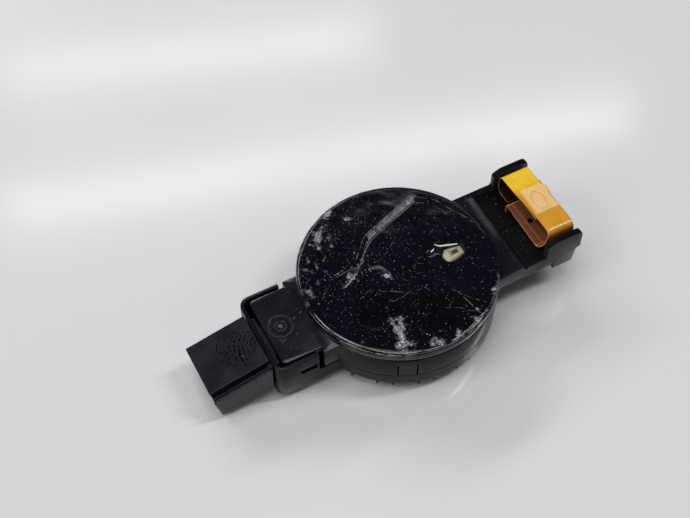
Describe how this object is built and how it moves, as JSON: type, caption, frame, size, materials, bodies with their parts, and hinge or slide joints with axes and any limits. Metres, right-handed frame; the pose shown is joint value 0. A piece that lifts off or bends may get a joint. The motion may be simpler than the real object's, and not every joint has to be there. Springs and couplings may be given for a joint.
{
  "type": "rain, light and humidity sensor",
  "caption": "Windscreen rain, light and humidity sensor: a round drum under a clear gel pad, with a pitched connector arm and a sprung flexible contact on the arm opposite.",
  "frame": {"origin": "centre of the drum's cup at the face it lies on, on the optical axis", "axes": "+Z towards the glass, +X from the connector arm towards the humidity arm"},
  "size_m": [0.0757, 0.0382, 0.0147],
  "materials": {
    "housing_gloss": "infrared-passing black plastic, polished",
    "housing_satin": "satin black moulded plastic",
    "black_matte": "matte black plastic",
    "clear_gel": "clear silicone gel, worn and dusty, seen against black",
    "clear_plastic": "clear optical plastic",
    "polyimide": "amber polyimide film",
    "flex_underside": "brown polyimide over copper",
    "stiffener": "pale amber laminate",
    "board_green": "green solder resist",
    "chip_black": "black moulded resin",
    "chip_cream": "cream ceramic",
    "diode_dark": "dark clear resin",
    "tin_plate": "tin-plated bronze",
    "connector_ivory": "ivory nylon",
    "can_aluminium": "bare can"
  },
  "bodies": {
    "sensor_body": {"lower_housing": "housing_satin", "upper_housing": "housing_gloss", "coupling_pad": "clear_gel", "ambient_window": "clear_plastic", "light_sensor_chip": "chip_cream", "lens_plate": "clear_plastic", "infrared_emitter_1": "diode_dark", "infrared_emitter_2": "diode_dark", "photodiode_1": "diode_dark", "photodiode_2": "diode_dark", "light_barrier": "black_matte", "main_board": "board_green", "microcontroller": "chip_black", "bus_transceiver": "chip_black", "capacitor_1": "can_aluminium", "capacitor_2": "can_aluminium", "inductor": "chip_black", "connector_shroud": "housing_satin", "terminal_carrier": "black_matte", "terminal_pin_1": "tin_plate", "terminal_pin_2": "tin_plate", "terminal_pin_3": "tin_plate", "arm_cover": "housing_satin", "flex_near_bend": "polyimide", "flex_far_bend": "polyimide", "flex_lower": "flex_underside", "flex_tail": "polyimide", "flex_socket": "connector_ivory"},
    "contact": {"flex_contact": "polyimide", "contact_stiffener": "stiffener", "humidity_temperature_chip": "chip_black"}
  },
  "joints": [
    {"name": "contact_press", "type": "slide", "parent": "sensor_body", "child": "contact", "axis": [0, 0, 1], "range_m": [-0.0017, 0], "stiffness_N_per_m": 300, "deforming": ["flex_near_bend", "flex_far_bend"]}
  ]
}
